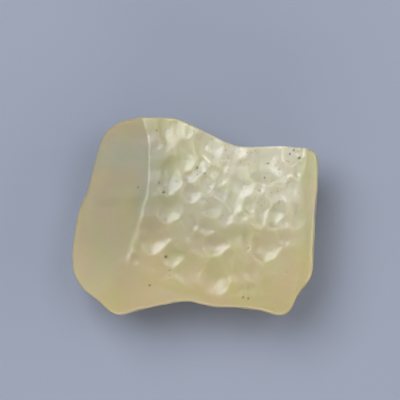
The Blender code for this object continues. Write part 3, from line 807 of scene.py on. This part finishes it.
@dataclass(frozen=True)
class DesertGlassFinish:
    """Milky yellow natural glass under a skin that blown sand has frosted, with painted bounce light,
    shade and sheen in its colour.

    The skin's roughness runs from that of the smooth face to that of the scoured one. The scales are
    those of the clouds, the tints and the grain.
    """

    cool: Colour = srgb(191, 183, 148)
    # The warm end of the body colour: partly the glass's tint, partly painted warm bounce light
    warm: Colour = srgb(198, 182, 140)
    # The left face's painted shade in a cool and a warm tone; the cool tone is also a painted grey
    # reflection
    left_shade_cool: Colour = srgb(168, 163, 141)
    left_shade_warm: Colour = srgb(177, 164, 128)
    greenish: Colour = (0.96, 1.0, 0.90, 1.0)
    pinkish: Colour = (1.0, 0.965, 0.985, 1.0)
    # The whitened skin's colour: partly sand frosting, partly a painted pale sheen
    pale: Colour = srgb(230, 227, 214)
    # Dark brown in the pin-point pits: partly dirt, partly painted shade of the pit walls
    dust_and_pit_shade: Colour = srgb(122, 94, 44)
    grit: Colour = srgb(62, 36, 4)
    ior: float = 1.46
    transmission: float = 0.55
    milk_depth: float = 0.0022
    milk_reach: Place = (0.95, 0.9, 0.6)
    absorbed: Colour = srgb(236, 226, 172)
    absorption: float = 25.0
    skin_roughness: Span = (0.285, 0.30)
    grit_roughness: float = 0.35
    scales: Place = (90.0, 230.0, 2600.0)
    cloud_span: Span = (0.35, 0.65)
    wisps: Span = (-0.25, 0.25)
    tint_span: Span = (0.36, 0.64)
    grain_depth: float = 0.0000003
    frost_and_sheen_blend: float = 0.36
    speck_scale: float = 1900.0
    speck_depth: float = 0.00006
    speck_size: Span = (0.08, 0.22)
    speck_chance: Span = (0.05, 0.30)
    dust_and_pit_shade_by_whitening: Span = (0.0, 0.8)
    dust_and_pit_shade_by_tint: Span = (0.42, 0.56)
    least_dust_and_pit_shade: float = 0.15
    dust_and_pit_shade_share: float = 0.85
    grit_share: float = 0.95

    def specks(self, nodes: ShaderNodes, place: Socket) -> Socket:
        """The pin-point pits: 1 in the middle of each and 0 outside them. Their dark colour is partly dirt
        and partly painted shade of their walls.
        """
        cells = nodes.add("ShaderNodeTexVoronoi", {"Vector": place, "Scale": self.speck_scale})
        dot = nodes.span(cells.outputs["Distance"], self.speck_size, (1.0, 0.0))
        chance = nodes.add("ShaderNodeSeparateColor", {"Color": cells.outputs["Color"]})
        return nodes.maths("MULTIPLY", dot, nodes.span(chance.outputs["Red"], self.speck_chance))

    def dust_and_pit_shade_amount(self, nodes: ShaderNodes, frost_and_sheen: Socket, tints: Socket) -> Socket:
        """How dark the pits are painted, partly dirt and partly painted shade: most where the skin is
        whitened, and there in patches.
        """
        dust_and_pit_shade = nodes.maths(
            "MULTIPLY", nodes.span(frost_and_sheen, self.dust_and_pit_shade_by_whitening), nodes.span(tints, self.dust_and_pit_shade_by_tint)
        )
        return nodes.maths("ADD", nodes.maths("MULTIPLY", dust_and_pit_shade, 1.0 - self.least_dust_and_pit_shade), self.least_dust_and_pit_shade)

    def glass(self, nodes: ShaderNodes, clouds: bpy.types.Node) -> Socket:
        """The glass's colour before its whitened skin, pits and grit, with its slow clouds and tints,
        painted warm bounce light to the front and lower left, and painted shade on the left face.
        """
        wisps = nodes.span(clouds.outputs["Clouds"], self.cloud_span, self.wisps)
        # The warm tint is partly painted warm bounce light, to the front and lower left
        tint = nodes.maths("ADD", nodes.mask(Mask.WARM), wisps)
        milky = nodes.blend(tint, self.cool, self.warm)
        # deep is the left face's painted shade, in the same warm and cool tones
        deep = nodes.blend(tint, self.left_shade_cool, self.left_shade_warm)
        colour = nodes.blend(nodes.mask(Mask.LEFT_SHADE), milky, deep)
        hue = nodes.span(clouds.outputs["Tints"], self.tint_span)
        return nodes.blend(1.0, colour, nodes.blend(hue, self.greenish, self.pinkish), "MULTIPLY")

    def material(self) -> bpy.types.Material:
        """The finish as a new material."""
        made, nodes, place = new_material("desert_glass_skin")
        clouds = nodes.clouds(place, self.scales)
        scoured, frost_and_sheen, grit = (nodes.mask(mask) for mask in (Mask.SCOURED, Mask.FROST_AND_SHEEN, Mask.GRIT))
        colour = self.glass(nodes, clouds)
        # Whitens the scoured skin: partly sand frosting, partly painted sheen
        colour = nodes.blend(nodes.maths("MULTIPLY", frost_and_sheen, self.frost_and_sheen_blend), colour, self.pale)
        dust_and_pit_shade_amount = self.dust_and_pit_shade_amount(nodes, frost_and_sheen, clouds.outputs["Tints"])
        specks = nodes.maths("MULTIPLY", self.specks(nodes, place), dust_and_pit_shade_amount)
        # Darkens the pits: partly dirt, partly painted shade
        colour = nodes.blend(nodes.maths("MULTIPLY", specks, self.dust_and_pit_shade_share), colour, self.dust_and_pit_shade)
        colour = nodes.blend(nodes.maths("MULTIPLY", grit, self.grit_share), colour, self.grit)
        rough = nodes.span(scoured, (0.0, 1.0), self.skin_roughness)
        rough = nodes.maths("ADD", rough, nodes.maths("MULTIPLY", grit, self.grit_roughness))
        grain_height = nodes.maths("MULTIPLY", clouds.outputs["Grain"], self.grain_depth)
        height = nodes.maths("ADD", nodes.maths("MULTIPLY", specks, -self.speck_depth), grain_height)
        bump = nodes.add("ShaderNodeBump", {"Strength": 1.0, "Distance": 1.0, "Height": height})
        shader = nodes.add(
            "ShaderNodeBsdfPrincipled",
            {
                "Base Color": colour,
                "Roughness": rough,
                "Metallic": 0.0,
                "IOR": self.ior,
                "Transmission Weight": self.transmission,
                "Subsurface Weight": 1.0,
                "Subsurface Radius": self.milk_reach,
                "Subsurface Scale": self.milk_depth,
                "Normal": bump.outputs["Normal"],
            },
        )
        inputs = {"Color": self.absorbed, "Density": self.absorption}
        absorb = nodes.add("ShaderNodeVolumeAbsorption", inputs)
        ends = {"Surface": shader.outputs["BSDF"], "Volume": absorb.outputs["Volume"]}
        nodes.add("ShaderNodeOutputMaterial", ends)
        return made


@dataclass(frozen=True)
class SkinZones:
    """The spans that the skin's masks rise over, and how much each part of a mask counts."""

    top_skin: Span = (-1.2, -0.3)
    grit_edge: Span = (0.5, 1.3)
    # Where the warm tint and the painted warm bounce light lie
    warm_front: Span = (-14.0, 9.0)
    warm_front_turn: float = 0.15
    warm_left_x: Span = (-11.0, -8.0)
    warm_left_y: Span = (6.5, 10.5)
    warm_corner: Span = (18.0, 23.0)
    warm_corner_turn: float = 0.5
    warm_back: Span = (12.0, 16.0)
    warm_back_x: Span = (-8.0, -4.0)
    warm_back_share: float = 0.9
    # Where the painted shade on the left face lies
    left_shade_run: Span = (-6.5, 0.5)
    left_shade_y: Span = (-17.0, -2.0)
    # Where the frosting and the painted pale sheen lie; the whitest spans are painted highlight
    frost_and_sheen_x: Span = (-5.0, 6.0)
    frost_and_sheen_y: Span = (-5.0, 4.0)
    whitest_x: Span = (8.0, 13.0)
    whitest_y: Span = (7.0, 12.0)
    whitest_gain: float = 0.5
    right_edge_x: Span = (15.5, 19.5)
    right_edge_loss: float = 0.6

    def masks(self, form: StoneForm, points: Array) -> dict[Mask, Array]:
        """What the finish needs to know of each point.

        Args:
            form: The stone's form.
            points: The skin's points in millimetres, one row each.

        Returns:
            For each mask, one value for each point.
        """
        x, y, z = points.T
        on_top = smooth_step(*self.top_skin, z - form.fine.read(form.upper["height"], x, y))
        scoured = form.fine.read(form.upper["scoured"], x, y) * on_top
        return {
            Mask.SCOURED: scoured,
            Mask.WARM: self.warmth(x, y),
            Mask.LEFT_SHADE: self.left_face_shade(smooth_line(form.face.ridge, y) - x, y),
            Mask.FROST_AND_SHEEN: scoured * self.frost_and_sheen_amount(x, y),
            Mask.GRIT: self.grittiness(x, y) * on_top,
        }

    def warmth(self, x: Array, y: Array) -> Array:
        """How warm the colour is: more to the front, to the left and along the left back edge. It is
        partly the glass's own tint and, to the front and lower left, painted warm bounce light.
        """
        front = 1.0 - smooth_step(*self.warm_front, y + self.warm_front_turn * x)
        left = (1.0 - smooth_step(*self.warm_left_y, y)) * (1.0 - smooth_step(*self.warm_left_x, x))
        corner = smooth_step(*self.warm_corner, y - self.warm_corner_turn * x)
        back = np.maximum(corner, smooth_step(*self.warm_back, y))
        back = back * (1.0 - smooth_step(*self.warm_back_x, x))
        return np.clip(np.maximum(front, left) + self.warm_back_share * back, 0.0, 1.0)

    def left_face_shade(self, run: Array, y: Array) -> Array:
        """How much painted shade darkens the glass: most on the left face, by its run from the ridge, and
        behind.
        """
        return smooth_step(*self.left_shade_run, run) * smooth_step(*self.left_shade_y, y)

    def frost_and_sheen_amount(self, x: Array, y: Array) -> Array:
        """How much the skin is whitened, partly by blown sand and partly by a painted pale sheen: most to
        the back, more still at the back right, less along the right edge.
        """
        worn = smooth_step(*self.frost_and_sheen_y, y) * smooth_step(*self.frost_and_sheen_x, x)
        whitest = smooth_step(*self.whitest_y, y) * smooth_step(*self.whitest_x, x)
        edge = smooth_step(*self.right_edge_x, x)
        return worn * (1.0 + self.whitest_gain * whitest) * (1.0 - self.right_edge_loss * edge)

    def grittiness(self, x: Array, y: Array) -> Array:
        """1 in the grit holes and 0 clear of them."""
        grit = np.zeros(x.shape)
        for hole in GRIT_HOLES:
            away = np.hypot(x - hole.x, y - hole.y) / hole.radius
            grit = np.maximum(grit, 1.0 - smooth_step(*self.grit_edge, away))
        return grit


@dataclass
class DesertGlass:
    """The stone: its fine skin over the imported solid, its masks and its finish."""

    form: StoneForm = field(default_factory=StoneForm)
    zones: SkinZones = field(default_factory=SkinZones)
    finish: DesertGlassFinish = field(default_factory=DesertGlassFinish)
    name: str = "worn_stone"
    weld: float = 0.0001
    voxel: float = 0.219
    quick_voxel: float = 0.36
    wear_rounds: int = 5
    snap: float = 0.02

    def build(self) -> bpy.types.Object:
        """Makes the stone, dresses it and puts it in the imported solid's place.

        Returns:
            The finished piece.
        """
        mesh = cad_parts[NODE].data.copy()
        mesh.materials.clear()
        stone = new_object(self.name, mesh)
        self.close_up(stone)
        self.cover(stone)
        self.wear(stone)
        stone.data.shade_smooth()
        stone.data.materials.append(self.finish.material())
        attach(stone, BODY)
        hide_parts(NODE)
        return stone

    def close_up(self, stone: bpy.types.Object) -> None:
        """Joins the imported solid's loose facets into one closed skin."""
        bm = bmesh.new()
        bm.from_mesh(stone.data)
        bmesh.ops.remove_doubles(bm, verts=bm.verts, dist=self.weld * MM)
        bm.to_mesh(stone.data)
        bm.free()

    def cover(self, stone: bpy.types.Object) -> None:
        """Covers the stone evenly with small faces of one size."""
        modifier = stone.modifiers.new("even_faces", "REMESH")
        modifier.mode = "VOXEL"
        modifier.voxel_size = self.voxel * MM
        evaluated = stone.evaluated_get(bpy.context.evaluated_depsgraph_get())
        fine = bpy.data.meshes.new_from_object(evaluated)
        stone.modifiers.clear()
        rough, stone.data = stone.data, fine
        bpy.data.meshes.remove(rough)

    def wear(self, stone: bpy.types.Object) -> None:
        """Brings every point of the skin onto the form and gives it its masks."""
        mesh = stone.data
        flat = np.empty(3 * len(mesh.vertices), dtype=np.float32)
        mesh.vertices.foreach_get("co", flat)
        points = self.form.worn(flat.reshape(-1, 3).astype(float) / MM, self.wear_rounds)
        points[points[:, 2] < self.snap, 2] = 0.0
        mesh.vertices.foreach_set("co", (points * MM).astype(np.float32).ravel())
        mesh.update()
        for mask, values in self.zones.masks(self.form, points).items():
            carried = mesh.attributes.new(mask.value, "FLOAT", "POINT")
            carried.data.foreach_set("value", values.astype(np.float32))


@dataclass(frozen=True)
class FloorFinish:
    """Smooth pale blue-grey card."""

    colour: Colour = srgb(109, 113, 125)
    faint: Colour = srgb(112, 115, 126)
    roughness: float = 0.85
    scales: tuple[float, ...] = (12.0,)

    def material(self) -> bpy.types.Material:
        """The finish as a new material."""
        made, nodes, place = new_material("pale_card")
        clouds = nodes.clouds(place, self.scales)
        colour = nodes.blend(clouds.outputs["Clouds"], self.colour, self.faint)
        shader = nodes.add("ShaderNodeBsdfPrincipled", {"Base Color": colour, "Roughness": self.roughness})
        nodes.add("ShaderNodeOutputMaterial", {"Surface": shader.outputs["BSDF"]})
        return made


@dataclass(frozen=True)
class SoftLight:
    """One soft rectangular lamp that looks at the stone."""

    name: str
    place: Place
    size: Span
    watts: float
    colour: Place = (1.0, 1.0, 1.0)

    def put(self, target: Vector) -> None:
        """Puts the lamp up, looking at a point."""
        data = bpy.data.lights.new(self.name, "AREA")
        data.shape = "RECTANGLE"
        data.size, data.size_y = self.size
        data.energy = self.watts
        data.color = self.colour
        lamp = new_object(self.name, data)
        lamp.location = self.place
        lamp.rotation_euler = (target - lamp.location).to_track_quat("-Z", "Y").to_euler()


@dataclass
class Studio:
    """A plain pale floor, plain soft lamps and the camera that looks straight down."""

    floor_size: float = 6.0
    lit_point: Place = (0.0, 0.0, 0.010)
    floor_finish: FloorFinish = field(default_factory=FloorFinish)
    lights: tuple[SoftLight, ...] = (
        SoftLight("window_lamp", (-0.348, 0.386, 0.866), (0.66, 0.66), 15.4, (0.90, 0.95, 1.0)),
        SoftLight("overhead_lamp", (0.19, 0.10, 0.45), (0.20, 0.20), 0.65, (0.86, 0.94, 1.0)),
        SoftLight("right_lamp", (0.45, -0.02, 0.20), (0.45, 0.25), 1.3, (1.0, 0.98, 0.92)),
        SoftLight("left_lamp", (-0.45, -0.05, 0.18), (0.45, 0.25), 0.5, (0.92, 0.96, 1.0)),
        SoftLight("front_lamp", (-0.02, -0.45, 0.20), (0.45, 0.25), 1.4, (1.0, 0.98, 0.92)),
    )
    sky: Colour = (0.62, 0.66, 0.74, 1.0)
    sky_strength: float = 0.45
    frame_middle: Span = (0.78, 2.77)
    frame_width: float = 69.1
    face_height: float = 13.5
    lens: float = 200.0
    sensor: float = 36.0
    clip_start: float = 0.01

    def build(self) -> None:
        """Puts up the floor, the lamps, the sky and the camera."""
        self.lay_floor()
        target = Vector(self.lit_point)
        for light in self.lights:
            light.put(target)
        self.hang_sky()
        self.set_camera()
        bpy.context.scene.view_settings.view_transform = "Standard"

    def lay_floor(self) -> None:
        """Lays the floor that the stone rests on."""
        bm = bmesh.new()
        bmesh.ops.create_grid(bm, x_segments=1, y_segments=1, size=self.floor_size / 2)
        mesh = bpy.data.meshes.new("pale_floor")
        bm.to_mesh(mesh)
        bm.free()
        floor = new_object("pale_floor", mesh)
        mesh.materials.append(self.floor_finish.material())

    def hang_sky(self) -> None:
        """Gives the studio its even, slightly cool fill."""
        world = bpy.data.worlds.new("studio_fill")
        bpy.context.scene.world = world
        world.use_nodes = True
        background = world.node_tree.nodes["Background"]
        background.inputs["Color"].default_value = self.sky
        background.inputs["Strength"].default_value = self.sky_strength

    def set_camera(self) -> None:
        """Sets the camera over the stone with a long lens, looking straight down."""
        data = bpy.data.cameras.new("overhead_camera")
        data.lens = self.lens
        data.sensor_width = self.sensor
        data.clip_start = self.clip_start
        camera = new_object("overhead_camera", data)
        away = self.frame_width * self.lens / self.sensor
        x, y = self.frame_middle
        camera.location = [value * MM for value in (x, y, self.face_height + away)]
        bpy.context.scene.camera = camera


def main() -> None:
    """Builds the stone and the studio round it."""
    logging.basicConfig(level=logging.INFO, format="%(message)s")
    stone = DesertGlass().build()
    LOG.info("%s: %d faces", stone.name, len(stone.data.polygons))
    Studio().build()


if __name__ == "__main__":
    main()
